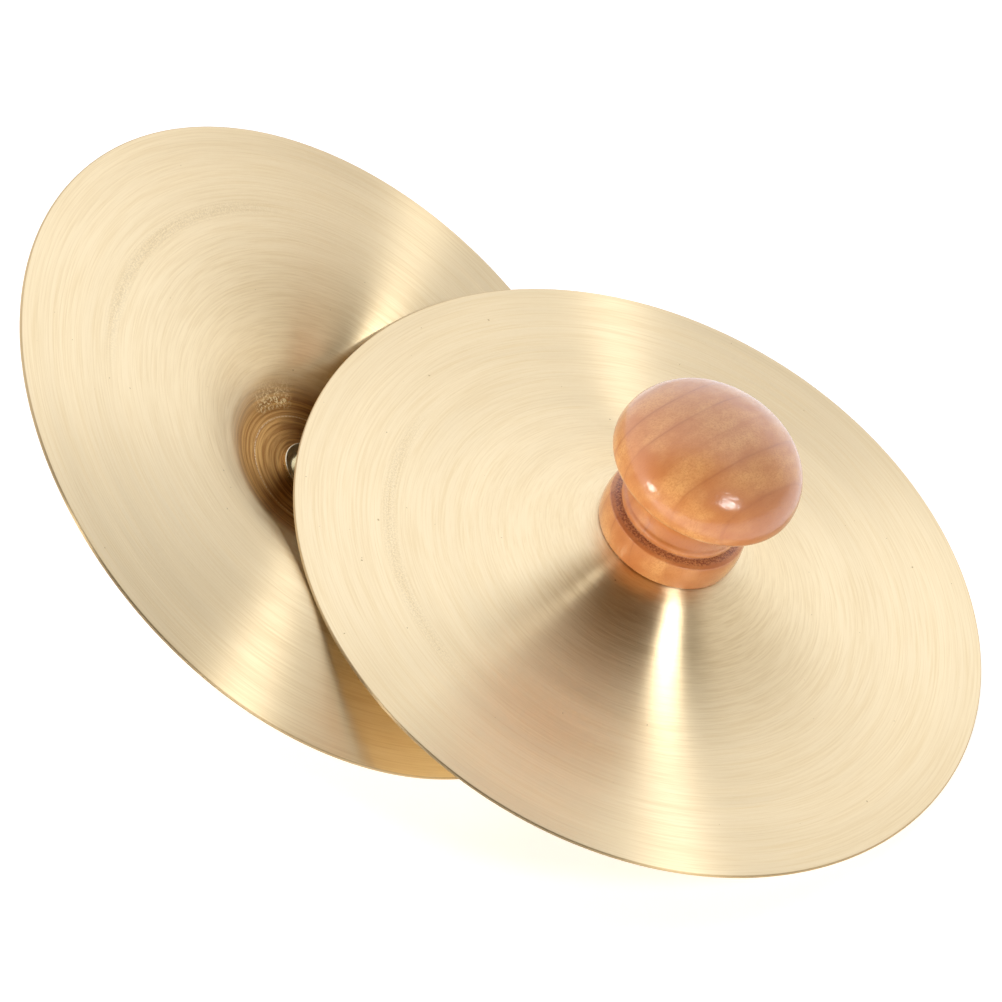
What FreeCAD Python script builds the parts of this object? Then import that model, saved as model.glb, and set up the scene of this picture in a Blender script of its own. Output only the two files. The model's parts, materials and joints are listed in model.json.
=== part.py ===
"""A pair of finger cymbals: two spun brass plates, each with a turned wooden knob on its bell.

One cymbal lies on its knob and its rim with the hollow side up. The other leans on it, knob up.
Both lean in the XZ plane, so the pair is the same on both sides of that plane.
Each piece is drawn on the axis of its cymbal, then placed. +Z is up and the floor is at Z = 0.
"""

import FreeCAD, Part
import math
import os
import Sketcher

# Driving dimensions in millimetres and degrees: name, size, meaning.
DIMENSIONS = (
    ("rim_radius", 75.0, "plate radius"),
    ("sheet", 0.8, "plate thickness"),
    ("rim_round", 0.25, "rounding of both rim edges"),
    ("bell_height", 12.2, "height of the bell's flat top above the rim"),
    ("bell_corner", 16.6, "radius where the bell's flat top would meet its flank"),
    ("bell_round", 12.0, "outer rounding between flat top and flank"),
    ("flank_slope", 0.7, "fall of the bell's flank per unit of radius"),
    ("trough_radius", 50.0, "radius of the lowest circle of the brim"),
    ("trough_depth", 0.4, "how far that circle lies below the rim"),
    ("plate_hole", 2.3, "radius of the screw hole"),
    ("seat_gap", 0.1, "running gap on each side of the plate at the screw"),
    ("knob_base", 14.8, "radius of the foot ring's edges"),
    ("knob_foot", 15.05, "radius of the knob's bottom edge above its chamfer"),
    ("foot_chamfer", 0.3, "chamfer of the knob's bottom edge"),
    ("foot_height", 6.0, "height of the foot ring"),
    ("foot_bulge", 13.0, "radius of the foot ring's rounded side"),
    ("groove_radius", 12.3, "radius at the bottom of the turned groove"),
    ("groove_height", 6.5, "height where the bead starts"),
    ("bead_top", 8.7, "height where the bead ends"),
    ("bead_round", 1.25, "radius of the bead's rounded side"),
    ("neck_round", 7.0, "radius of the hollow neck"),
    ("lip_radius", 18.0, "radius where the neck meets the head's lip"),
    ("lip_height", 18.9, "height where the neck meets the head's lip"),
    ("head_radius", 19.8, "largest radius of the knob"),
    ("head_height", 20.9, "height of the largest radius"),
    ("shoulder_round", 9.0, "radius of the head's shoulder"),
    ("knob_height", 33.4, "height of the whole knob"),
    ("bore_radius", 3.25, "radius of the hole for the insert"),
    ("bore_depth", 11.0, "depth of the hole for the insert"),
    ("tip_radius", 2.3, "radius of the deeper hole for the screw's tip"),
    ("tip_depth", 16.0, "depth of the deeper hole"),
    ("insert_radius", 3.2, "radius over the insert's barbs"),
    ("insert_waist", 2.8, "radius between the barbs"),
    ("insert_bore", 2.05, "radius of the insert's threaded hole, as a plain bore"),
    ("insert_length", 10.0, "length of the insert"),
    ("insert_sink", 0.3, "how far the insert lies inside the knob"),
    ("washer_radius", 6.0, "radius of the washer"),
    ("washer_hole", 2.15, "radius of the washer's hole"),
    ("washer_thick", 1.0, "thickness of the washer"),
    ("washer_round", 0.2, "rounding of the washer's outer edges"),
    ("screw_radius", 2.0, "radius of the screw's shank"),
    ("screw_length", 14.0, "length of the screw under its head"),
    ("screw_point", 0.6, "chamfer of the screw's tip"),
    ("screw_head", 3.9, "radius of the screw's head"),
    ("screw_edge", 0.9, "height of the head's straight side"),
    ("screw_crown", 2.5, "height of the head"),
    ("cross_length", 4.2, "length of each arm pair of the cross recess"),
    ("cross_width", 1.0, "width of the cross recess"),
    ("cross_depth", 1.4, "depth of the cross recess"),
    ("lower_x", -37.17, "centre of the lower rim along X"),
    ("lower_lean", 34.58, "lean of the lower cymbal in degrees"),
    ("upper_x", 27.23, "centre of the upper rim along X"),
    ("upper_lean", 17.06, "lean of the upper cymbal in degrees"),
)

SHEET_NAME = "Sizes"
INSERT_BARBS = 4
CROSS_ARMS = 4
FULL_TURN = 360.0
FIRST_ROW = 2


class Size:
    """A length that carries both its value and its spreadsheet formula."""

    def __init__(self, value, formula):
        self.value = float(value)
        self.formula = formula

    def join(self, other, sign, value):
        return Size(value, f"({self.formula} {sign} {other.formula})")

    def __add__(self, other):
        other = as_size(other)
        return self.join(other, "+", self.value + other.value)

    def __sub__(self, other):
        other = as_size(other)
        return self.join(other, "-", self.value - other.value)

    def __mul__(self, other):
        other = as_size(other)
        return self.join(other, "*", self.value * other.value)

    def __truediv__(self, other):
        other = as_size(other)
        return self.join(other, "/", self.value / other.value)

    def __radd__(self, other):
        return as_size(other) + self

    def __rsub__(self, other):
        return as_size(other) - self

    def __rmul__(self, other):
        return as_size(other) * self

    def __rtruediv__(self, other):
        return as_size(other) / self

    def __neg__(self):
        return 0 - self


def as_size(number):
    return number if isinstance(number, Size) else Size(number, f"{number:g}")


def root(size):
    return Size(math.sqrt(size.value), f"sqrt({size.formula})")


def make_sheet(doc):
    """Write the driving dimensions to the sheet and return them by name."""
    sheet = doc.addObject("Spreadsheet::Sheet", SHEET_NAME)
    sheet.set("A1", "dimension")
    sheet.set("B1", "size")
    sheet.set("C1", "meaning")
    for row, (name, number, meaning) in enumerate(DIMENSIONS, FIRST_ROW):
        sheet.set(f"A{row}", name)
        sheet.set(f"B{row}", str(number))
        sheet.set(f"C{row}", meaning)
        sheet.setAlias(f"B{row}", name)
    doc.recompute()
    return {name: Size(number, f"{SHEET_NAME}.{name}") for name, number, _ in DIMENSIONS}


class Outline:
    """A closed outline in a body's XZ or XY plane, each corner tied to the sheet."""

    def __init__(self, body, name, plane="XZ_Plane"):
        self.sketch = new_sketch(body, name, plane)
        self.first = None
        self.last = None
        self.tip = None
        self.root_corner = None

    def start(self, across, up):
        self.first = self.last = (across, up)
        return self

    def tie(self, geometry, end, point):
        """Fix one end of a piece of geometry at a corner."""
        across, up = point
        if across is None:
            self.sketch.addConstraint(Sketcher.Constraint("PointOnObject", geometry, end, -2))
        else:
            tie_distance(self.sketch, "DistanceX", (-1, 1, geometry, end), across)
        tie_distance(self.sketch, "DistanceY", (-1, 1, geometry, end), up)

    def join(self, geometry, start_end, stop_end, point):
        if self.tip is None:
            self.tie(geometry, start_end, self.last)
            self.root_corner = (geometry, start_end)
        else:
            self.sketch.addConstraint(Sketcher.Constraint("Coincident", *self.tip, geometry, start_end))
        if point is self.first:
            corner = Sketcher.Constraint("Coincident", geometry, stop_end, *self.root_corner)
            self.sketch.addConstraint(corner)
        else:
            self.tie(geometry, stop_end, point)
        self.tip = (geometry, stop_end)
        self.last = point

    def line(self, across, up):
        return self.line_to((across, up))

    def line_to(self, point):
        edge = Part.LineSegment(flat(self.last), flat(point))
        geometry = self.sketch.addGeometry(edge, False)
        self.join(geometry, 1, 2, point)
        return self

    def arc(self, across, up, radius, turn):
        """An arc to a corner. A turn of 1 runs anticlockwise and -1 clockwise."""
        point = (across, up)
        begin = flat(self.last)
        end = flat(point)
        chord = end - begin
        middle = (begin + end) * 0.5
        height = math.sqrt(max(radius.value**2 - (chord.Length / 2) ** 2, 0.0))
        side = FreeCAD.Vector(-chord.y, chord.x, 0).normalize() * turn
        centre = middle + side * height
        ends = (begin, end) if turn > 0 else (end, begin)
        angles = [math.atan2(p.y - centre.y, p.x - centre.x) for p in ends]
        circle = Part.Circle(centre, FreeCAD.Vector(0, 0, 1), radius.value)
        geometry = self.sketch.addGeometry(Part.ArcOfCircle(circle, *angles), False)
        start_end, stop_end = (1, 2) if turn > 0 else (2, 1)
        self.join(geometry, start_end, stop_end, point)
        tie_distance(self.sketch, "Radius", (geometry,), radius)
        return self

    def close(self):
        self.line_to(self.first)
        return self.sketch


def flat(point):
    across, up = point
    return FreeCAD.Vector(0 if across is None else across.value, up.value, 0)


def tie_distance(sketch, kind, places, size):
    """Add a dimension whose value follows its formula."""
    index = sketch.addConstraint(Sketcher.Constraint(kind, *places, size.value))
    sketch.setExpression(f"Constraints[{index}]", size.formula)


def origin_plane(body, role):
    return next(item for item in body.Origin.OriginFeatures if item.Role == role)


def new_sketch(body, name, plane):
    sketch = body.newObject("Sketcher::SketchObject", name)
    sketch.AttachmentSupport = [(origin_plane(body, plane), "")]
    sketch.MapMode = "FlatFace"
    return sketch


def new_body(doc, name):
    body = doc.addObject("PartDesign::Body", name)
    body.Label = name
    return body


def revolve(body, sketch, name):
    """Turn a sketch about the piece's axis."""
    turned = body.newObject("PartDesign::Revolution", name)
    turned.Profile = sketch
    turned.ReferenceAxis = (sketch, ["V_Axis"])
    turned.Angle = FULL_TURN
    body.Document.recompute()
    return turned


def circle_sketch(body, name, radii):
    """Circles about the piece's axis in its XY plane."""
    sketch = new_sketch(body, name, "XY_Plane")
    up = FreeCAD.Vector(0, 0, 1)
    for radius in radii:
        circle = Part.Circle(FreeCAD.Vector(0, 0, 0), up, radius.value)
        geometry = sketch.addGeometry(circle, False)
        sketch.addConstraint(Sketcher.Constraint("Coincident", geometry, 3, -1, 1))
        tie_distance(sketch, "Radius", (geometry,), radius)
    return sketch


def cut(body, sketch, name, depth=None, upwards=True):
    """Pocket a sketch out of the body, up or down to a depth, or through all both ways."""
    before = body.Shape.Volume
    pocket = body.newObject("PartDesign::Pocket", name)
    pocket.Profile = sketch
    if depth is None:
        pocket.Type = "ThroughAll"
        pocket.Midplane = True
    else:
        pocket.Length = depth.value
        pocket.setExpression("Length", depth.formula)
        pocket.Reversed = upwards
    body.Document.recompute()
    if body.Shape.Volume > before - 1e-3:
        raise RuntimeError(f"{body.Label}: {name} cuts nothing")
    return pocket


def round_edges(body, feature, name, wanted, radius):
    """Fillet the circular edges of the last feature that have one of the wanted radii."""
    names = [
        f"Edge{number}"
        for number, edge in enumerate(feature.Shape.Edges, 1)
        if isinstance(edge.Curve, Part.Circle)
        and any(abs(edge.Curve.Radius - size.value) < 1e-4 for size in wanted)
    ]
    fillet = body.newObject("PartDesign::Fillet", name)
    fillet.Base = (feature, names)
    fillet.Radius = radius.value
    fillet.setExpression("Radius", radius.formula)
    body.Document.recompute()
    return fillet


def spun_surface(size, depth):
    """Corners and radii of the plate's section, for the surface at a depth below its outer face."""
    slant = root(1 + size["flank_slope"] * size["flank_slope"])
    sine = size["flank_slope"] / slant
    cosine = 1 / slant
    half_turn = (slant - 1) / size["flank_slope"]
    corner_fall = size["bell_height"] + size["trough_depth"]
    reach = size["trough_radius"] - size["bell_corner"]
    flare = (reach - corner_fall / size["flank_slope"]) / (sine - (1 - cosine) / size["flank_slope"])
    brim_width = size["rim_radius"] - size["trough_radius"]
    brim = (brim_width * brim_width + size["trough_depth"] * size["trough_depth"]) / (
        2 * size["trough_depth"]
    )
    top = size["bell_height"] - depth
    bell = size["bell_round"] - depth
    centre_radius = size["bell_corner"] - size["bell_round"] * half_turn
    centre_level = size["bell_height"] - size["bell_round"]
    flare_level = flare - size["trough_depth"]
    flare_radius = flare + depth
    brim_radius = brim + depth
    return {
        "top_end": (centre_radius, top),
        "flank_start": (centre_radius + bell * sine, centre_level + bell * cosine),
        "flank_end": (size["trough_radius"] - flare_radius * sine, flare_level - flare_radius * cosine),
        "trough": (size["trough_radius"], flare_level - flare_radius),
        "rim": (
            size["rim_radius"],
            brim - size["trough_depth"] - root(brim_radius * brim_radius - brim_width * brim_width),
        ),
        "bell": bell,
        "flare": flare_radius,
        "brim": brim_radius,
    }


def make_plate(doc, name, size):
    """The spun brass plate: flat bell top, straight flank, flared brim and a central screw hole."""
    body = new_body(doc, name)
    outer = spun_surface(size, as_size(0))
    inner = spun_surface(size, size["sheet"])
    outline = Outline(body, f"{name}_section")
    outline.start(None, size["bell_height"])
    outline.line(*outer["top_end"])
    outline.arc(*outer["flank_start"], outer["bell"], -1)
    outline.line(*outer["flank_end"])
    outline.arc(*outer["trough"], outer["flare"], 1)
    outline.arc(*outer["rim"], outer["brim"], 1)
    outline.line(*inner["rim"])
    outline.arc(*inner["trough"], inner["brim"], -1)
    outline.arc(*inner["flank_end"], inner["flare"], -1)
    outline.line(*inner["flank_start"])
    outline.arc(*inner["top_end"], inner["bell"], 1)
    outline.line(None, size["bell_height"] - size["sheet"])
    spun = revolve(body, outline.close(), f"{name}_spun")
    round_edges(body, spun, f"{name}_rim", (size["rim_radius"],), size["rim_round"])
    hole = circle_sketch(body, f"{name}_hole_sketch", (size["plate_hole"],))
    cut(body, hole, f"{name}_hole")
    return body


def make_knob(doc, name, size):
    """The turned wooden knob: foot ring, groove, bead, hollow neck and domed head."""
    body = new_body(doc, name)
    crown_rise = size["knob_height"] - size["head_height"]
    shoulder = size["shoulder_round"]
    reach = size["head_radius"] - shoulder
    crown = (reach * reach + crown_rise * crown_rise - shoulder * shoulder) / (2 * (crown_rise - shoulder))
    crown_share = crown / (crown - shoulder)
    crown_centre = size["knob_height"] - crown
    lip_reach = size["head_radius"] - size["lip_radius"]
    lip_rise = size["head_height"] - size["lip_height"]
    lip = (lip_reach * lip_reach + lip_rise * lip_rise) / (2 * lip_reach)
    outline = Outline(body, f"{name}_section")
    outline.start(None, as_size(0))
    outline.line(size["knob_foot"] - size["foot_chamfer"], as_size(0))
    outline.line(size["knob_foot"], size["foot_chamfer"])
    outline.arc(size["knob_base"], size["foot_height"], size["foot_bulge"], 1)
    outline.line(size["groove_radius"], size["groove_height"])
    outline.arc(size["groove_radius"], size["bead_top"], size["bead_round"], 1)
    outline.arc(size["lip_radius"], size["lip_height"], size["neck_round"], -1)
    outline.arc(size["head_radius"], size["head_height"], lip, 1)
    outline.arc(
        reach * crown_share,
        crown_centre + (size["head_height"] - crown_centre) * crown_share,
        shoulder,
        1,
    )
    outline.arc(None, size["knob_height"], crown, 1)
    revolve(body, outline.close(), f"{name}_turned")
    bore = circle_sketch(body, f"{name}_bore_sketch", (size["bore_radius"],))
    cut(body, bore, f"{name}_bore", size["bore_depth"])
    tip = circle_sketch(body, f"{name}_tip_sketch", (size["tip_radius"],))
    cut(body, tip, f"{name}_tip", size["tip_depth"])
    return body


def make_insert(doc, name, size):
    """The barbed brass insert that is pressed into the knob."""
    body = new_body(doc, name)
    pitch = size["insert_length"] / INSERT_BARBS
    outline = Outline(body, f"{name}_section")
    outline.start(size["insert_bore"], as_size(0))
    outline.line(size["insert_waist"], as_size(0))
    for barb in range(INSERT_BARBS):
        outline.line(size["insert_radius"], pitch * (barb + 0.25))
        outline.line(size["insert_waist"], pitch * (barb + 1))
    outline.line(size["insert_bore"], size["insert_length"])
    revolve(body, outline.close(), f"{name}_turned")
    return body


def make_washer(doc, name, size):
    """The plain washer under the screw's head."""
    body = new_body(doc, name)
    rings = circle_sketch(body, f"{name}_rings", (size["washer_radius"], size["washer_hole"]))
    disc = body.newObject("PartDesign::Pad", f"{name}_disc")
    disc.Profile = rings
    disc.Length = size["washer_thick"].value
    disc.setExpression("Length", size["washer_thick"].formula)
    doc.recompute()
    round_edges(body, disc, f"{name}_edge", (size["washer_radius"],), size["washer_round"])
    return body


def make_screw(doc, name, size):
    """The pan-head machine screw. Its head lies below Z = 0 and its shank stands above it."""
    body = new_body(doc, name)
    crown_rise = size["screw_crown"] - size["screw_edge"]
    crown = (size["screw_head"] * size["screw_head"] + crown_rise * crown_rise) / (2 * crown_rise)
    outline = Outline(body, f"{name}_section")
    outline.start(None, -size["screw_crown"])
    outline.arc(size["screw_head"], -size["screw_edge"], crown, 1)
    outline.line(size["screw_head"], as_size(0))
    outline.line(size["screw_radius"], as_size(0))
    outline.line(size["screw_radius"], size["screw_length"] - size["screw_point"])
    outline.line(size["screw_radius"] - size["screw_point"], size["screw_length"])
    outline.line(None, size["screw_length"])
    revolve(body, outline.close(), f"{name}_turned")

    half_length = size["cross_length"] / 2
    half_width = size["cross_width"] / 2
    quarter = ((half_width, half_length), (half_width, half_width), (half_length, half_width))
    corners = [(half_length, -half_width)]
    for arm in range(CROSS_ARMS):
        for across, up in reversed(quarter):
            corners.append(turned_corner(across, up, arm))
    cross = Outline(body, f"{name}_cross_sketch", "XY_Plane").start(*corners[0])
    for corner in corners[1:-1]:
        cross.line(*corner)
    floor = cross.close()
    floor.AttachmentOffset = FreeCAD.Placement(
        FreeCAD.Vector(0, 0, -size["screw_crown"].value), FreeCAD.Rotation()
    )
    sink = -size["screw_crown"]
    floor.setExpression("AttachmentOffset.Base.z", sink.formula)
    cut(body, floor, f"{name}_cross", size["cross_depth"])
    return body


def turned_corner(across, up, quarter_turns):
    """A corner of the cross, turned about the axis by whole quarter turns."""
    for _ in range(quarter_turns):
        across, up = -up, across
    return across, up


def cymbal_pieces(doc, prefix, size):
    """The pieces of one cymbal, each with its height along the cymbal's axis."""
    knob_seat = size["bell_height"] + size["seat_gap"]
    washer_level = size["bell_height"] - size["sheet"] - size["seat_gap"] - size["washer_thick"]
    return (
        (make_plate(doc, f"{prefix}_plate", size), as_size(0)),
        (make_knob(doc, f"{prefix}_knob", size), knob_seat),
        (make_insert(doc, f"{prefix}_insert", size), knob_seat + size["insert_sink"]),
        (make_washer(doc, f"{prefix}_washer", size), washer_level),
        (make_screw(doc, f"{prefix}_screw", size), washer_level),
    )


def rim_height(size, lean, thickness):
    """Height of a leaning rim's centre when its lowest edge touches the floor."""
    rounding = size["rim_round"].value * (math.sin(lean) + math.cos(lean) - 1)
    return size["rim_radius"].value * math.sin(lean) + thickness * math.cos(lean) - rounding


def place(pieces, x, z, tilt):
    """Stand a cymbal's pieces along an axis that is tilted about Y."""
    turn = FreeCAD.Rotation(FreeCAD.Vector(0, 1, 0), tilt)
    cymbal = FreeCAD.Placement(FreeCAD.Vector(x, 0, z), turn)
    for body, level in pieces:
        body.Placement = cymbal * FreeCAD.Placement(
            FreeCAD.Vector(0, 0, level.value), FreeCAD.Rotation()
        )


def check_document(doc):
    for item in doc.Objects:
        if "Invalid" in item.State or "Error" in item.State:
            raise RuntimeError(f"{item.Name} failed: {item.State}")


def export(bodies):
    os.makedirs("parts", exist_ok=True)
    for body in bodies:
        shape = body.Shape
        if shape.isNull() or not shape.isValid() or len(shape.Solids) != 1:
            raise RuntimeError(f"{body.Label} isn't one valid solid")
        shape.exportStep(f"parts/{body.Label}.step")
        print(f"{body.Label}: {shape.Volume:.1f} mm3")


def main():
    doc = FreeCAD.newDocument("FingerCymbals")
    size = make_sheet(doc)
    lower = cymbal_pieces(doc, "lower", size)
    upper = cymbal_pieces(doc, "upper", size)
    lower_lean = size["lower_lean"].value
    upper_lean = size["upper_lean"].value
    lower_height = rim_height(size, math.radians(lower_lean), 0)
    upper_height = rim_height(size, math.radians(upper_lean), size["sheet"].value)
    place(lower, size["lower_x"].value, lower_height, 180 + lower_lean)
    place(upper, size["upper_x"].value, upper_height, upper_lean)
    doc.recompute()
    check_document(doc)
    export([body for body, _ in lower + upper])


main()
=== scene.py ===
"""The looks of a pair of finger cymbals: spun brushed brass plates and lacquered turned wooden knobs.

Each plate and knob is a lathe mesh about its cymbal's axis, which is its object's local Z, so that the
brushing, the tool rings and the grain are drawn in the piece's own coordinates.
"""

import json
import math

import bpy
from mathutils import Matrix, Vector, noise


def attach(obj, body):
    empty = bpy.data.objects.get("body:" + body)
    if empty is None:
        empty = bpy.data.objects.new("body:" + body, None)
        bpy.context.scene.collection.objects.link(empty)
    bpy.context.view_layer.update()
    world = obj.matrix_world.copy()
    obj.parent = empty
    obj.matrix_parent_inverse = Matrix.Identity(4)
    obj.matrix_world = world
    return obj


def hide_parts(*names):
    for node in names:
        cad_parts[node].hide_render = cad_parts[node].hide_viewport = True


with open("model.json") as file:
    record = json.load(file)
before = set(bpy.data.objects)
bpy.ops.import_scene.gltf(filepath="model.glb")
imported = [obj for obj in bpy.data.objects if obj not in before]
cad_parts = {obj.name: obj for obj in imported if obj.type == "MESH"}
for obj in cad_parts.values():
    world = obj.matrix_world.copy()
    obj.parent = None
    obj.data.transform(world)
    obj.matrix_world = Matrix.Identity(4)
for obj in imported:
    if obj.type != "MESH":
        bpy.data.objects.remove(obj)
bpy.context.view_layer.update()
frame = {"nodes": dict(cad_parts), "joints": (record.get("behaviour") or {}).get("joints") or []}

MM = 0.001
UP = Vector((0, 0, 1))

# Section sizes in millimetres, the same as the CAD plate's and knob's.
RIM_RADIUS = 75.0
SHEET = 0.8
RIM_ROUND = 0.25
BELL_HEIGHT = 12.2
BELL_CORNER = 16.6
BELL_ROUND = 12.0
FLANK_SLOPE = 0.7
TROUGH_RADIUS = 50.0
TROUGH_DEPTH = 0.4
PLATE_HOLE = 2.3
SEAT_GAP = 0.1

KNOB_FOOT = 15.05
FOOT_CHAMFER = 0.3
KNOB_BASE = 14.8
FOOT_HEIGHT = 6.0
FOOT_BULGE = 13.0
FOOT_EDGE = 0.35
FOOT_EDGE_ROUND = 0.38
GROOVE_RADIUS = 12.3
GROOVE_HEIGHT = 6.5
GROOVE_ROUND = 0.14
BEAD_TOP = 8.7
BEAD_ROUND = 1.25
NECK_ROUND = 7.0
LIP_RADIUS = 18.0
LIP_HEIGHT = 18.9
HEAD_RADIUS = 19.8
HEAD_HEIGHT = 20.9
SHOULDER_ROUND = 9.0
KNOB_HEIGHT = 33.4
BORE_RADIUS = 3.25
BORE_DEPTH = 11.0

PLATE_TURNS = 384
KNOB_TURNS = 256
PLATE_STEP = 0.7
BELL_STEP = 0.35
RIM_STEP = 0.08

# The plates' unevenness: its height, where it starts, how far it takes to grow and the size of its waves.
RIPPLE = 0.02
RIPPLE_START = 20
RIPPLE_GROWTH = 55
RIPPLE_SIZE = 30


# ---- geometry -------------------------------------------------------------------------------


def arc_points(start, end, radius, turn, step):
    """Points of an arc after its start. A turn of 1 runs anticlockwise and -1 clockwise."""
    start, end = Vector(start), Vector(end)
    chord = end - start
    height = math.sqrt(max(radius ** 2 - (chord.length / 2) ** 2, 0.0))
    side = Vector((-chord.y, chord.x)).normalized() * turn
    centre = (start + end) / 2 + side * height
    sweep = 2 * math.asin(min(1.0, chord.length / (2 * radius)))
    count = max(2, math.ceil(radius * sweep / step))
    arm = start - centre
    points = []
    for index in range(1, count + 1):
        angle = turn * sweep * index / count
        cosine, sine = math.cos(angle), math.sin(angle)
        points.append(centre + Vector((arm.x * cosine - arm.y * sine, arm.x * sine + arm.y * cosine)))
    return points


def line_points(start, end, step):
    """Points of a straight line after its start."""
    start, end = Vector(start), Vector(end)
    count = max(1, math.ceil((end - start).length / step))
    return [start.lerp(end, index / count) for index in range(1, count + 1)]


def plate_surface(depth):
    """The plate's section from the hole to the rim, for the surface at a depth below the outer face."""
    slant = math.sqrt(1 + FLANK_SLOPE ** 2)
    sine = FLANK_SLOPE / slant
    cosine = 1 / slant
    half_turn = (slant - 1) / FLANK_SLOPE
    reach = TROUGH_RADIUS - BELL_CORNER
    corner_fall = BELL_HEIGHT + TROUGH_DEPTH
    flare = (reach - corner_fall / FLANK_SLOPE) / (sine - (1 - cosine) / FLANK_SLOPE)
    brim_width = RIM_RADIUS - TROUGH_RADIUS
    brim = (brim_width ** 2 + TROUGH_DEPTH ** 2) / (2 * TROUGH_DEPTH)
    centre_radius = BELL_CORNER - BELL_ROUND * half_turn
    bell = BELL_ROUND - depth
    flare_radius = flare + depth
    brim_radius = brim + depth
    flare_level = flare - TROUGH_DEPTH
    top_end = (centre_radius, BELL_HEIGHT - depth)
    flank_start = (centre_radius + bell * sine, BELL_HEIGHT - BELL_ROUND + bell * cosine)
    flank_end = (TROUGH_RADIUS - flare_radius * sine, flare_level - flare_radius * cosine)
    trough = (TROUGH_RADIUS, flare_level - flare_radius)
    rim_edge = RIM_RADIUS - RIM_ROUND
    edge_drop = math.sqrt(brim_radius ** 2 - (rim_edge - TROUGH_RADIUS) ** 2)
    rim = (rim_edge, brim - TROUGH_DEPTH - edge_drop)
    points = [Vector((PLATE_HOLE, BELL_HEIGHT - depth))]
    points += line_points(points[0], top_end, PLATE_STEP)
    points += arc_points(top_end, flank_start, bell, -1, BELL_STEP)
    points += line_points(flank_start, flank_end, PLATE_STEP)
    points += arc_points(flank_end, trough, flare_radius, 1, PLATE_STEP)
    points += arc_points(trough, rim, brim_radius, 1, PLATE_STEP)
    return points


def plate_section():
    """The closed section of the plate with its rounded rim."""
    outer = plate_surface(0.0)
    inner = plate_surface(SHEET)
    out_edge = Vector((RIM_RADIUS, outer[-1].y - RIM_ROUND))
    in_edge = Vector((RIM_RADIUS, inner[-1].y + RIM_ROUND))
    rim = arc_points(outer[-1], out_edge, RIM_ROUND, -1, RIM_STEP)
    rim += [in_edge]
    rim += arc_points(in_edge, inner[-1], RIM_ROUND, -1, RIM_STEP)
    return outer + rim + inner[-2::-1]


def knob_section():
    """The outline of the knob from its foot's bore round to its crown."""
    crown_rise = KNOB_HEIGHT - HEAD_HEIGHT
    reach = HEAD_RADIUS - SHOULDER_ROUND
    crown = (reach ** 2 + crown_rise ** 2 - SHOULDER_ROUND ** 2) / (2 * (crown_rise - SHOULDER_ROUND))
    share = crown / (crown - SHOULDER_ROUND)
    crown_centre = KNOB_HEIGHT - crown
    lip_reach = HEAD_RADIUS - LIP_RADIUS
    lip_rise = HEAD_HEIGHT - LIP_HEIGHT
    lip = (lip_reach ** 2 + lip_rise ** 2) / (2 * lip_reach)
    shoulder_end = (reach * share, crown_centre + (HEAD_HEIGHT - crown_centre) * share)
    points = [Vector((0.0, BORE_DEPTH)), Vector((BORE_RADIUS, BORE_DEPTH)), Vector((BORE_RADIUS, 0.0))]
    points += line_points(points[-1], (KNOB_FOOT - FOOT_CHAMFER, 0.0), 2.0)
    points += arc_points(points[-1], (KNOB_FOOT, FOOT_CHAMFER), FOOT_CHAMFER, 1, 0.1)
    foot_side = (KNOB_BASE + 0.02, FOOT_HEIGHT - FOOT_EDGE)
    foot_top = (KNOB_BASE - FOOT_EDGE, FOOT_HEIGHT + 0.02)
    points += arc_points(points[-1], foot_side, FOOT_BULGE, 1, 0.5)
    points += arc_points(points[-1], foot_top, FOOT_EDGE_ROUND, 1, 0.1)
    points += line_points(points[-1], (GROOVE_RADIUS + 0.2, GROOVE_HEIGHT - 0.06), 0.5)
    groove_end = (GROOVE_RADIUS + 0.05, GROOVE_HEIGHT + 0.1)
    points += arc_points(points[-1], groove_end, GROOVE_ROUND, -1, 0.06)
    points += arc_points(points[-1], (GROOVE_RADIUS, BEAD_TOP), BEAD_ROUND, 1, 0.15)
    points += arc_points(points[-1], (LIP_RADIUS, LIP_HEIGHT), NECK_ROUND, -1, 0.35)
    points += arc_points(points[-1], (HEAD_RADIUS, HEAD_HEIGHT), lip, 1, 0.25)
    points += arc_points(points[-1], shoulder_end, SHOULDER_ROUND, 1, 0.4)
    points += arc_points(points[-1], (0.0, KNOB_HEIGHT), crown, 1, 0.6)
    return points


def lathe(name, section, turns, closed, place, wobble=None):
    """Turn a section in millimetres about local Z and stand it at a place."""
    vertices = []
    rings = []
    for point in section:
        if point.x < 1e-6:
            rings.append([len(vertices)])
            vertices.append((0.0, 0.0, point.y * MM))
            continue
        ring = []
        for index in range(turns):
            angle = math.tau * index / turns
            height = point.y + (wobble(point.x, angle) if wobble else 0.0)
            ring.append(len(vertices))
            across, along = point.x * math.cos(angle), point.x * math.sin(angle)
            vertices.append((across * MM, along * MM, height * MM))
        rings.append(ring)
    faces = []
    pairs = list(zip(rings, rings[1:]))
    if closed:
        pairs.append((rings[-1], rings[0]))
    for below, above in pairs:
        for index in range(turns):
            following = (index + 1) % turns
            if len(below) == 1:
                faces.append((below[0], above[following], above[index]))
            elif len(above) == 1:
                faces.append((below[index], below[following], above[0]))
            else:
                faces.append((below[index], below[following], above[following], above[index]))
    mesh = bpy.data.meshes.new(name)
    mesh.from_pydata(vertices, [], faces)
    mesh.validate()
    mesh.update()
    piece = bpy.data.objects.new(name, mesh)
    bpy.context.scene.collection.objects.link(piece)
    piece.matrix_world = place
    mesh.shade_smooth()
    return piece


def cymbal_place(joint_name):
    """The frame of a cymbal: origin at its rim's centre and Z along its axis towards the knob."""
    joint = next(item for item in frame["joints"] if item["name"] == joint_name)
    axis = Vector(joint["axis"]).normalized()
    across = Vector((0, 1, 0)).cross(axis).normalized()
    along = axis.cross(across)
    turn = Matrix((across, along, axis)).transposed().to_4x4()
    return Matrix.Translation(Vector(joint["pos_m"])) @ turn


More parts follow.
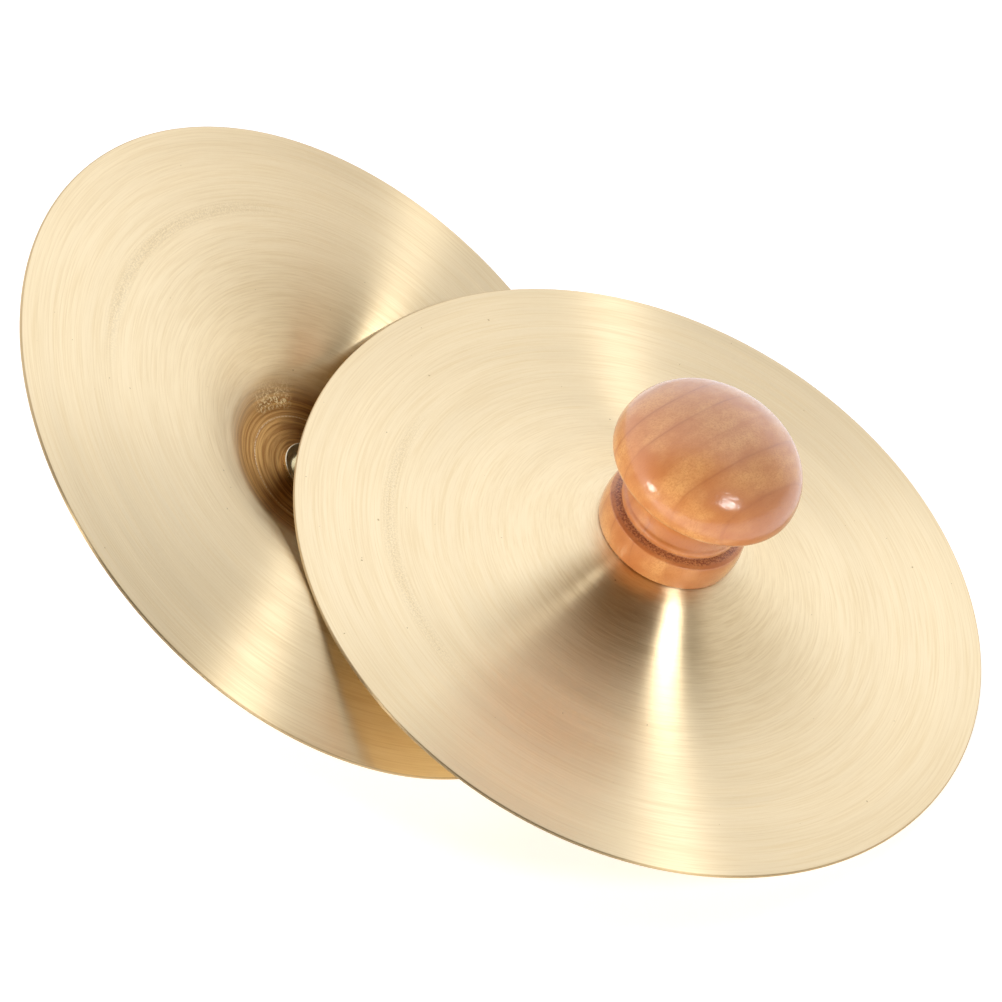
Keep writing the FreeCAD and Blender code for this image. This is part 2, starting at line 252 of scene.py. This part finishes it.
def plate_wobble(seed):
    """Spun unevenness: a few hundredths of a millimetre, more towards the rim."""

    def height(radius, angle):
        share = min(1.0, max(0.0, (radius - RIPPLE_START) / RIPPLE_GROWTH))
        reach = radius / RIPPLE_SIZE
        where = Vector((math.cos(angle) * reach, math.sin(angle) * reach, seed))
        return RIPPLE * share * noise.noise(where)

    return height


# ---- materials ------------------------------------------------------------------------------

BRASS_DARK = (0.86, 0.68, 0.40, 1)
BRASS_LIGHT = (0.97, 0.80, 0.51, 1)
# Painted shade and dark reflection for the bell's hollow.
BELL_SHADE_DEEP = (0.42, 0.20, 0.06, 1)
BELL_SHADE_PALE = (0.70, 0.41, 0.14, 1)
# Painted dark reflection: a thin darker line round the rim.
RIM_DARK_REFLECTION = (0.72, 0.54, 0.30, 1)
# Painted glints on one side of the bell.
GLINT_GOLD = (1.0, 0.82, 0.44, 1)
SCUFF_BRASS = (0.42, 0.30, 0.14, 1)
WOOD_LIGHT = (0.74, 0.36, 0.12, 1)
WOOD_DEEP = (0.54, 0.185, 0.05, 1)
WOOD_LINE = (0.40, 0.115, 0.035, 1)
WOOD_GROOVE = (0.22, 0.045, 0.015, 1)
WOOD_SOAKED = (0.62, 0.26, 0.09, 1)

# Marks on the brass, the fade of the painted shade in the bell's hollow and the turn of the painted
# glints, in millimetres and radians.
BELL_MARK = 12.8
MARK_HALF_WIDTH = 0.25
BELL_FADE_START = 15.5
BELL_FADE_END = 22.0
SCUFF_RADIUS = 55.0
SCUFF_HALF_WIDTH = 2.6
GLINT_TURN = math.radians(20)

# Heights of the fine relief, in metres.
BRUSH_RELIEF = 0.00007
PORE_RELIEF = 0.00006
PEEL_RELIEF = 0.00018
METAL_RELIEF = 0.00003

# Growth rings of the knob, in millimetres: spacing, first ring, tilt against the axis, bend along the
# grain, and the place of the ring that hardly shows.
RING_SPACING = 6.4
FIRST_RING = 1.0
RING_TILT = -0.35
RING_BEND = -0.010
FAINT_RING = -12.0


class Nodes:
    """A short way to write a material's node tree."""

    def __init__(self, name):
        self.material = bpy.data.materials.new(name)
        self.material.use_nodes = True
        self.tree = self.material.node_tree
        self.tree.nodes.clear()
        self.output = self.tree.nodes.new("ShaderNodeOutputMaterial")
        self.shader = self.tree.nodes.new("ShaderNodeBsdfPrincipled")
        self.link(self.shader.outputs["BSDF"], self.output.inputs["Surface"])

    def link(self, source, target):
        self.tree.links.new(source, target)

    def feed(self, socket, value):
        if isinstance(value, bpy.types.NodeSocket):
            self.link(value, socket)
        else:
            socket.default_value = value

    def math(self, operation, first, second=0.0, third=0.0):
        node = self.tree.nodes.new("ShaderNodeMath")
        node.operation = operation
        for socket, value in zip(node.inputs, (first, second, third)):
            self.feed(socket, value)
        return node.outputs[0]

    def add(self, first, second):
        return self.math("ADD", first, second)

    def minus(self, first, second):
        return self.math("SUBTRACT", first, second)

    def times(self, first, second):
        return self.math("MULTIPLY", first, second)

    def vector(self, x, y, z):
        node = self.tree.nodes.new("ShaderNodeCombineXYZ")
        for socket, value in zip(node.inputs, (x, y, z)):
            self.feed(socket, value)
        return node.outputs[0]

    def noise(self, vector, scale, detail=2.0, roughness=0.5, distortion=0.0):
        node = self.tree.nodes.new("ShaderNodeTexNoise")
        self.link(vector, node.inputs["Vector"])
        node.inputs["Scale"].default_value = scale
        node.inputs["Detail"].default_value = detail
        node.inputs["Roughness"].default_value = roughness
        node.inputs["Distortion"].default_value = distortion
        return node.outputs["Fac"]

    def remap(self, value, low, high, to_low=0.0, to_high=1.0):
        node = self.tree.nodes.new("ShaderNodeMapRange")
        node.interpolation_type = "SMOOTHSTEP"
        for socket, number in zip(node.inputs, (value, low, high, to_low, to_high)):
            self.feed(socket, number)
        return node.outputs[0]

    def mix(self, share, first, second):
        node = self.tree.nodes.new("ShaderNodeMix")
        node.data_type = "RGBA"
        self.feed(node.inputs["Factor"], share)
        self.feed(node.inputs["A"], first)
        self.feed(node.inputs["B"], second)
        return next(socket for socket in node.outputs if socket.type == "RGBA")

    def bump(self, height, strength, distance, normal=None):
        node = self.tree.nodes.new("ShaderNodeBump")
        node.inputs["Strength"].default_value = strength
        node.inputs["Distance"].default_value = distance
        self.link(height, node.inputs["Height"])
        if normal is not None:
            self.link(normal, node.inputs["Normal"])
        return node.outputs["Normal"]

    def place(self):
        """Local X, Y, Z in millimetres."""
        coordinates = self.tree.nodes.new("ShaderNodeTexCoord")
        scale = self.tree.nodes.new("ShaderNodeVectorMath")
        scale.operation = "SCALE"
        scale.inputs["Scale"].default_value = 1 / MM
        self.link(coordinates.outputs["Object"], scale.inputs[0])
        split = self.tree.nodes.new("ShaderNodeSeparateXYZ")
        self.link(scale.outputs[0], split.inputs[0])
        return scale.outputs[0], split.outputs


def polar(nodes, split):
    """Radius and the unit direction about local Z."""
    squares = nodes.add(nodes.times(split[0], split[0]), nodes.times(split[1], split[1]))
    radius = nodes.math("MAXIMUM", nodes.math("SQRT", squares), 0.01)
    return radius, nodes.math("DIVIDE", split[0], radius), nodes.math("DIVIDE", split[1], radius)


def streaks(nodes, spot, per_mm, around, detail, seed):
    """Noise that is fine across the turning lines and long along them."""
    radius, cosine, sine = spot
    line = nodes.math("MULTIPLY_ADD", radius, per_mm, seed)
    where = nodes.vector(nodes.times(cosine, around), nodes.times(sine, around), line)
    return nodes.noise(where, 1.0, detail, 0.6)


def bell_inside(nodes, radius, height):
    """1 on the hollow side of the bell and 0 on its outside, split along the middle of the sheet."""
    slant = math.sqrt(1 + FLANK_SLOPE ** 2)
    top_end = BELL_CORNER - BELL_ROUND * (slant - 1) / FLANK_SLOPE
    middle = BELL_ROUND - SHEET / 2
    reach = middle * FLANK_SLOPE / slant
    out = nodes.math("MAXIMUM", nodes.minus(radius, top_end), 0.0)
    out = nodes.math("MINIMUM", out, reach)
    arc = nodes.math("SQRT", nodes.minus(middle ** 2, nodes.times(out, out)))
    past = nodes.math("MAXIMUM", nodes.minus(radius, top_end + reach), 0.0)
    arc_level = nodes.add(arc, BELL_HEIGHT - BELL_ROUND)
    level = nodes.minus(arc_level, nodes.times(past, FLANK_SLOPE))
    below = nodes.remap(nodes.minus(level, height), 0.0, 0.1)
    return nodes.times(below, nodes.remap(radius, BELL_FADE_START, BELL_FADE_END, 1.0, 0.0))


def ring_mark(nodes, radius, where, half_width):
    """A thin circle scratched at a radius."""
    away = nodes.math("ABSOLUTE", nodes.minus(radius, where))
    return nodes.remap(away, 0.0, half_width, 1.0, 0.0)


def facing(nodes, spot, turn):
    """Cosine of the angle about local Z between a point and a turn."""
    _, cosine, sine = spot
    return nodes.add(nodes.times(cosine, math.cos(turn)), nodes.times(sine, math.sin(turn)))


def wear(nodes, spot, where, grit, scuff_and_glint_turn):
    """How worn the brass is: a gritty ring round part of the brim, and a few tiny pits."""
    worn_side = nodes.remap(facing(nodes, spot, scuff_and_glint_turn), 0.7, 0.95)
    scuff = nodes.times(ring_mark(nodes, spot[0], SCUFF_RADIUS, SCUFF_HALF_WIDTH), worn_side)
    scuff = nodes.times(scuff, nodes.remap(grit, 0.40, 0.60))
    pits = nodes.remap(nodes.noise(where, 0.9, 1.0), 0.80, 0.83)
    return nodes.math("MAXIMUM", nodes.times(scuff, 0.30), nodes.times(pits, 0.7))


def bell_painted_shade(nodes, radius, tool, grit):
    """Painted shade and dark reflection for the bell's hollow: dark brown brass streaked along the tool
    lines, with a bright ring where its flat top ends.
    """
    colour = nodes.mix(nodes.remap(tool, 0.35, 0.65), BELL_SHADE_DEEP, BELL_SHADE_PALE)
    mark = ring_mark(nodes, radius, BELL_MARK, MARK_HALF_WIDTH)
    broken = nodes.remap(grit, 0.4, 0.6, 0.05, 0.7)
    return nodes.mix(nodes.times(mark, broken), colour, BRASS_LIGHT)


def brushed_brass(name, seed, scuff_and_glint_turn):
    """Circular brushed brass, with a worn ring round part of the brim where the last argument points,
    painted glints on the bell on that side, painted shade in the bell's hollow and a painted dark
    reflection round the rim.
    """
    nodes = Nodes(name)
    where, split = nodes.place()
    spot = polar(nodes, split)
    radius = spot[0]
    fine = streaks(nodes, spot, per_mm=3.0, around=4.5, detail=4.0, seed=seed)
    broad = streaks(nodes, spot, per_mm=1.1, around=1.6, detail=4.0, seed=seed + 40.0)
    bands = streaks(nodes, spot, per_mm=0.16, around=0.7, detail=2.0, seed=seed + 90.0)
    tool = streaks(nodes, spot, per_mm=2.0, around=0.8, detail=3.0, seed=70.0)
    grit = nodes.noise(where, 2.8, 3.0, 0.7)
    inside = bell_inside(nodes, radius, split[2])
    lines = nodes.add(nodes.times(fine, 0.7), nodes.times(broad, 0.3))

    # Tool chatter as bumps on one side of the bell, with painted glints there: gold flecks that are less
    # metallic.
    glint_side = nodes.remap(facing(nodes, spot, scuff_and_glint_turn + GLINT_TURN), 0.93, 0.99)
    chatter_and_glint_zone = nodes.times(glint_side, nodes.remap(radius, 14.0, 16.0))
    chatter_and_glint_zone = nodes.times(chatter_and_glint_zone, inside)
    painted_glints = nodes.times(chatter_and_glint_zone, nodes.remap(nodes.noise(where, 1.9, 2.0, 0.6), 0.50, 0.58))
    edge = nodes.remap(radius, RIM_RADIUS - 0.30, RIM_RADIUS - 0.12)

    base = nodes.mix(nodes.remap(lines, 0.32, 0.62), BRASS_DARK, BRASS_LIGHT)
    base = nodes.mix(wear(nodes, spot, where, grit, scuff_and_glint_turn), base, SCUFF_BRASS)
    # Painted shade and dark reflection in the bell's hollow, laid over the brushed brass.
    base = nodes.mix(inside, base, bell_painted_shade(nodes, radius, tool, grit))
    # Painted glints: gold flecks on the chatter.
    base = nodes.mix(painted_glints, base, GLINT_GOLD)
    # A painted dark reflection: the rounded rim's edge is painted darker.
    base = nodes.mix(edge, base, RIM_DARK_REFLECTION)
    nodes.feed(nodes.shader.inputs["Base Color"], base)
    nodes.feed(nodes.shader.inputs["Metallic"], nodes.math("MULTIPLY_ADD", painted_glints, -0.6, 1.0))

    line_rough = nodes.remap(lines, 0.3, 0.7, -0.03, 0.03)
    rough = nodes.add(line_rough, nodes.remap(bands, 0.3, 0.7, 0.31, 0.345))
    rough = nodes.math("MULTIPLY_ADD", edge, 0.15, rough)
    nodes.feed(nodes.shader.inputs["Roughness"], rough)
    nodes.shader.inputs["Anisotropic"].default_value = 1.0
    nodes.shader.inputs["Anisotropic Rotation"].default_value = 0.25
    tangent = nodes.tree.nodes.new("ShaderNodeTangent")
    tangent.direction_type = "RADIAL"
    tangent.axis = "Z"
    nodes.link(tangent.outputs[0], nodes.shader.inputs["Tangent"])

    rough_bell = nodes.times(grit, nodes.math("MULTIPLY_ADD", chatter_and_glint_zone, 6.0, 2.0))
    rough_bell = nodes.math("MULTIPLY_ADD", tool, 2.0, rough_bell)
    relief = nodes.math("MULTIPLY_ADD", inside, rough_bell, lines)
    nodes.link(nodes.bump(relief, 0.5, BRUSH_RELIEF), nodes.shader.inputs["Normal"])
    return nodes.material


def ring_place(nodes, along, across, height):
    """Distance in millimetres through the growth rings, which are tilted, bent and a little warped."""
    warp = nodes.noise(nodes.vector(nodes.times(along, 0.4), across, height), 0.16, 2.0)
    ring = nodes.math("MULTIPLY_ADD", height, RING_TILT, across)
    ring = nodes.math("MULTIPLY_ADD", nodes.times(along, along), RING_BEND, ring)
    return nodes.math("MULTIPLY_ADD", warp, 0.8, ring)


def groove_part(nodes, radius, height):
    """1 in the groove between the knob's foot and its bead."""
    low = nodes.remap(height, GROOVE_HEIGHT - 0.6, GROOVE_HEIGHT - 0.4)
    high = nodes.remap(height, GROOVE_HEIGHT + 0.5, GROOVE_HEIGHT + 1.0, 1.0, 0.0)
    inside = nodes.remap(radius, KNOB_BASE - 1.3, KNOB_BASE - 0.7, 1.0, 0.0)
    return nodes.times(nodes.times(low, high), inside)


def lacquered_wood(name, grain_turn):
    """Stained face-grain wood: growth rings as thin dark lines, soft stain patches and short pores."""
    nodes = Nodes(name)
    where, split = nodes.place()
    height = split[2]
    cosine, sine = math.cos(grain_turn), math.sin(grain_turn)
    along = nodes.add(nodes.times(split[0], cosine), nodes.times(split[1], sine))
    across = nodes.minus(nodes.times(split[1], cosine), nodes.times(split[0], sine))
    ring = ring_place(nodes, along, across, height)
    turn = nodes.math("DIVIDE", nodes.minus(ring, FIRST_RING), RING_SPACING)
    turn = nodes.math("FRACT", turn)
    off_line = nodes.math("PINGPONG", turn, 0.5)
    sharp_line = nodes.remap(off_line, 0.0, 0.055, 0.6, 0.0)
    thin_line = nodes.add(sharp_line, nodes.remap(off_line, 0.0, 0.2, 0.4, 0.0))
    late_wood = nodes.remap(turn, 0.55, 1.0)
    from_faint = nodes.math("ABSOLUTE", nodes.minus(ring, FAINT_RING))
    uneven = nodes.remap(nodes.noise(where, 0.12, 1.0), 0.3, 0.6, 0.45, 1.0)
    faint = nodes.times(nodes.remap(from_faint, 1.5, 4.5, 0.15, 1.0), uneven)
    stain = nodes.noise(nodes.vector(nodes.times(along, 0.5), across, height), 0.10, 3.0, 0.55)
    patches = nodes.noise(where, 0.34, 3.0, 0.6)
    pore_place = nodes.vector(nodes.times(along, 0.9), nodes.times(across, 5.0), height)
    pores = nodes.noise(pore_place, 1.2, 3.0, 0.6)
    speckle = nodes.noise(where, 2.4, 3.0, 0.7)
    radius, _, _ = polar(nodes, split)
    groove = groove_part(nodes, radius, height)
    rough_groove = nodes.noise(where, 2.5, 3.0, 0.7)
    soak = nodes.mix(nodes.remap(rough_groove, 0.35, 0.65), WOOD_GROOVE, WOOD_SOAKED)

    base = nodes.mix(nodes.remap(stain, 0.35, 0.65), WOOD_DEEP, WOOD_LIGHT)
    base = nodes.mix(nodes.remap(patches, 0.45, 0.75, 0.0, 0.35), base, WOOD_DEEP)
    base = nodes.mix(nodes.times(late_wood, 0.25), base, WOOD_DEEP)
    base = nodes.mix(nodes.times(nodes.times(thin_line, faint), 0.6), base, WOOD_LINE)
    base = nodes.mix(nodes.remap(pores, 0.5, 0.75, 0.0, 0.40), base, WOOD_LINE)
    base = nodes.mix(nodes.remap(speckle, 0.42, 0.66, 0.0, 0.55), base, WOOD_DEEP)
    base = nodes.mix(nodes.times(groove, 0.9), base, soak)
    nodes.feed(nodes.shader.inputs["Base Color"], base)
    nodes.feed(nodes.shader.inputs["Roughness"], nodes.remap(patches, 0.3, 0.7, 0.38, 0.5))
    nodes.shader.inputs["Coat Weight"].default_value = 1.0
    nodes.shader.inputs["Coat Roughness"].default_value = 0.08
    nodes.shader.inputs["Coat IOR"].default_value = 1.5

    above_foot = nodes.remap(height, FOOT_HEIGHT - 0.3, FOOT_HEIGHT + 0.2)
    below_neck = nodes.remap(height, BEAD_TOP + 1.0, BEAD_TOP + 4.0, 1.0, 0.0)
    torn = nodes.times(nodes.times(above_foot, below_neck), rough_groove)
    relief = nodes.math("MULTIPLY_ADD", torn, 8.0, pores)
    peel = nodes.math("MULTIPLY_ADD", torn, 2.5, nodes.noise(where, 1.5, 3.0))
    nodes.link(nodes.bump(relief, 0.10, PORE_RELIEF), nodes.shader.inputs["Normal"])
    nodes.link(nodes.bump(peel, 0.3, PEEL_RELIEF), nodes.shader.inputs["Coat Normal"])
    return nodes.material


def plain_metal(name, colour, roughness):
    """Turned or plated metal with a fine grain."""
    nodes = Nodes(name)
    where, _ = nodes.place()
    grain = nodes.noise(where, 2.5, 4.0, 0.6)
    dark = tuple(channel * 0.8 for channel in colour[:3]) + (1,)
    rough = nodes.remap(grain, 0.3, 0.7, roughness - 0.06, roughness + 0.06)
    nodes.feed(nodes.shader.inputs["Base Color"], nodes.mix(nodes.remap(grain, 0.3, 0.7), dark, colour))
    nodes.shader.inputs["Metallic"].default_value = 1.0
    nodes.feed(nodes.shader.inputs["Roughness"], rough)
    nodes.link(nodes.bump(grain, 0.15, METAL_RELIEF), nodes.shader.inputs["Normal"])
    return nodes.material


# ---- the pieces -----------------------------------------------------------------------------


def build_cymbal(prefix, materials, seed):
    """One cymbal: a spun plate and a turned knob in place of the CAD's, and materials for its fittings."""
    place = cymbal_place(f"{prefix}_knob_turn")
    plate = lathe(f"{prefix}_plate_spun", plate_section(), PLATE_TURNS, True, place, plate_wobble(seed))
    plate.data.materials.append(materials[f"{prefix}_brass"])
    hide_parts(f"{prefix}_plate")
    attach(plate, f"{prefix}_plate")
    seat = place @ Matrix.Translation(UP * (BELL_HEIGHT + SEAT_GAP) * MM)
    knob = lathe(f"{prefix}_knob_turned", knob_section(), KNOB_TURNS, False, seat)
    knob.data.materials.append(materials[f"{prefix}_wood"])
    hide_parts(f"{prefix}_knob")
    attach(knob, f"{prefix}_handle")
    for part, material in (("insert", "insert"), ("washer", "steel"), ("screw", "steel")):
        node = frame["nodes"][f"{prefix}_{part}"]
        node.data.materials.clear()
        node.data.materials.append(materials[material])


materials = {
    "lower_brass": brushed_brass("brushed_brass_lower", 0.0, math.radians(20)),
    "upper_brass": brushed_brass("brushed_brass_upper", 17.0, math.radians(200)),
    "insert": plain_metal("insert_brass_turned", (0.75, 0.56, 0.27, 1), 0.3),
    "steel": plain_metal("passivated_steel", (0.95, 0.88, 0.66, 1), 0.22),
    "lower_wood": lacquered_wood("lacquered_wood_lower", math.radians(20)),
    "upper_wood": lacquered_wood("lacquered_wood_upper", math.radians(53)),
}
build_cymbal("lower", materials, 3.7)
build_cymbal("upper", materials, 11.2)


# ---- floor, light and camera ----------------------------------------------------------------

AIM = Vector((-0.004, 0.0042, 0.030))
CAMERA_PLACE = Vector((0.0722, -0.55533, 0.60334))
CAMERA_ROLL = math.radians(4.49)
LENS = 141.87

# The tent's brightness and the least it falls to, and where it is darker: azimuth, elevation, the angles
# at which a patch is full and gone, and its gain.
TENT_LEVEL = 1.20
TENT_LEAST = 0.04
TENT = (
    (10, 40, 33, 71, -1.22),
    (98, 16, 15, 45, -0.60),
)
TENT_WHITE = (0.98, 1.0, 1.08, 1)
TENT_SHADE = (1.0, 0.79, 0.52, 1)
FLOOR_SIZE = 6.0
FLOOR_GLOW = 0.45
FLOOR_DARK = (0.9, 0.9, 0.9, 1)
FLOOR_LIGHT = (0.94, 0.94, 0.94, 1)

# Softboxes: azimuth, elevation, distance, width, height, power and whether reflections show them.
LIGHTS = {
    "key": (61, 38, 1.2, 0.26, 0.26, 3.5, True),
    "small_fill": (-47, 19, 1.2, 0.2, 0.2, 2.4, True),
    "wide_fill": (-25, 0, 1.0, 0.9, 0.5, 14.0, False),
}


def add_floor():
    """Pale paper, with a little glow of its own so that it stays white under the object."""
    size = FLOOR_SIZE
    mesh = bpy.data.meshes.new("studio_floor")
    corners = [(-size, -size, 0), (size, -size, 0), (size, size, 0), (-size, size, 0)]
    mesh.from_pydata(corners, [], [(0, 1, 2, 3)])
    floor = bpy.data.objects.new("studio_floor", mesh)
    bpy.context.scene.collection.objects.link(floor)
    nodes = Nodes("pale_paper")
    where, _ = nodes.place()
    grain = nodes.noise(where, 0.6, 3.0, 0.6)
    nodes.feed(nodes.shader.inputs["Base Color"], nodes.mix(grain, FLOOR_DARK, FLOOR_LIGHT))
    nodes.shader.inputs["Roughness"].default_value = 0.9
    nodes.shader.inputs["Specular IOR Level"].default_value = 0.1
    nodes.shader.inputs["Emission Color"].default_value = (1, 1, 1, 1)
    nodes.shader.inputs["Emission Strength"].default_value = FLOOR_GLOW
    mesh.materials.append(nodes.material)


def direction(azimuth, elevation):
    """A direction: azimuth 0 is towards -Y and 90 towards +X, in degrees."""
    azimuth, elevation = math.radians(azimuth), math.radians(elevation)
    level = math.cos(elevation)
    return Vector((level * math.sin(azimuth), -level * math.cos(azimuth), math.sin(elevation)))


def add_light(name, azimuth, elevation, distance, width, height, power, in_reflections):
    """A softbox with a round or oval face, turned to the object."""
    data = bpy.data.lights.new(name, "AREA")
    data.shape = "ELLIPSE"
    data.size = width
    data.size_y = height
    data.energy = power
    light = bpy.data.objects.new(name, data)
    bpy.context.scene.collection.objects.link(light)
    towards = direction(azimuth, elevation)
    light.location = AIM + towards * distance
    light.rotation_euler = towards.to_track_quat("Z", "Y").to_euler()
    light.visible_glossy = in_reflections


def add_world():
    """A white tent that is open on the camera's side, as a smooth pattern of directions."""
    world = bpy.data.worlds.new("studio")
    world.use_nodes = True
    bpy.context.scene.world = world
    tree = world.node_tree
    coordinates = tree.nodes.new("ShaderNodeTexCoord")
    total = None
    for azimuth, elevation, inner, outer, gain in TENT:
        dot = tree.nodes.new("ShaderNodeVectorMath")
        dot.operation = "DOT_PRODUCT"
        tree.links.new(coordinates.outputs["Generated"], dot.inputs[0])
        dot.inputs[1].default_value = direction(azimuth, elevation)
        share = tree.nodes.new("ShaderNodeMapRange")
        share.interpolation_type = "SMOOTHSTEP"
        share.inputs["From Min"].default_value = math.cos(math.radians(outer))
        share.inputs["From Max"].default_value = math.cos(math.radians(inner))
        share.inputs["To Max"].default_value = gain
        tree.links.new(dot.outputs["Value"], share.inputs["Value"])
        add = tree.nodes.new("ShaderNodeMath")
        add.operation = "ADD"
        tree.links.new(share.outputs[0], add.inputs[0])
        if total is None:
            add.inputs[1].default_value = TENT_LEVEL
        else:
            tree.links.new(total, add.inputs[1])
        total = add.outputs[0]
    level = tree.nodes.new("ShaderNodeMath")
    level.operation = "MAXIMUM"
    level.inputs[1].default_value = TENT_LEAST
    tree.links.new(total, level.inputs[0])
    background = tree.nodes["Background"]
    tint = tree.nodes.new("ShaderNodeMix")
    tint.data_type = "RGBA"
    tree.links.new(level.outputs[0], tint.inputs["Factor"])
    tint.inputs["A"].default_value = TENT_SHADE
    tint.inputs["B"].default_value = TENT_WHITE
    tree.links.new(next(out for out in tint.outputs if out.type == "RGBA"), background.inputs["Color"])
    tree.links.new(level.outputs[0], background.inputs["Strength"])


def add_camera():
    """The camera, a little rolled, at the place that fits both rims."""
    data = bpy.data.cameras.new("camera")
    data.lens = LENS
    data.sensor_width = 36
    data.clip_start = 0.01
    data.clip_end = 50
    camera = bpy.data.objects.new("camera", data)
    bpy.context.scene.collection.objects.link(camera)
    look = (AIM - CAMERA_PLACE).to_track_quat("-Z", "Y").to_matrix().to_4x4()
    camera.matrix_world = Matrix.Translation(CAMERA_PLACE) @ look @ Matrix.Rotation(CAMERA_ROLL, 4, "Z")
    bpy.context.scene.camera = camera


add_floor()
add_world()
for light_name, settings in LIGHTS.items():
    add_light(light_name, *settings)
add_camera()
bpy.context.scene.view_settings.view_transform = "Standard"
